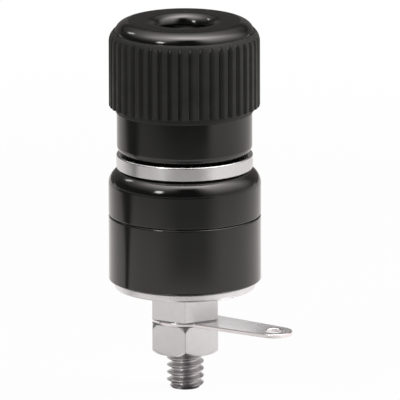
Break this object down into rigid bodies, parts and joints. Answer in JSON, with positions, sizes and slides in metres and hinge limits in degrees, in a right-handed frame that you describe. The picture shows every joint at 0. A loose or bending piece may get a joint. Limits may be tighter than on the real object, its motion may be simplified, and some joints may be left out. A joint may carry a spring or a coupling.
{
  "type": "banana socket",
  "caption": "Insulated binding post: a fluted cap screws down on a metal collar to clamp a wire, and its hole leads to a socket for a banana plug; a nutted stud holds a solder tag.",
  "frame": {"origin": "centre of the panel's plane, where the front and rear insulators meet", "axes": "+Z along the socket towards the plug, +X along the solder tag"},
  "size_m": [0.0213, 0.016, 0.0394],
  "materials": {
    "black_plastic": "moulded, glossy, with satin ribs on the cap",
    "nickel_plate": "turned and nickel-plated, bright",
    "tinned_tag": "stamped and tinned, satin",
    "bare_brass": "turned, bare"
  },
  "bodies": {
    "base": {"post": "nickel_plate", "front_insulator": "black_plastic", "rear_insulator": "black_plastic", "washer": "nickel_plate", "clamp_nut": "nickel_plate", "solder_tag": "tinned_tag", "terminal_nut": "nickel_plate"},
    "bush": {"threaded_bush": "bare_brass"},
    "cap": {"cap": "black_plastic"}
  },
  "joints": [
    {"name": "cap_lift", "type": "slide", "parent": "base", "child": "bush", "axis": [0, 0, 1], "range_m": [0, 0.005]},
    {"name": "cap_turn", "type": "hinge", "parent": "bush", "child": "cap", "pos_m": [0, 0, 0], "axis": [0, 0, 1], "range_deg": [0, 1440]}
  ],
  "couplings": [
    {"joint": "cap_lift", "follows": "cap_turn", "m_per_rad": 0.00019894}
  ]
}
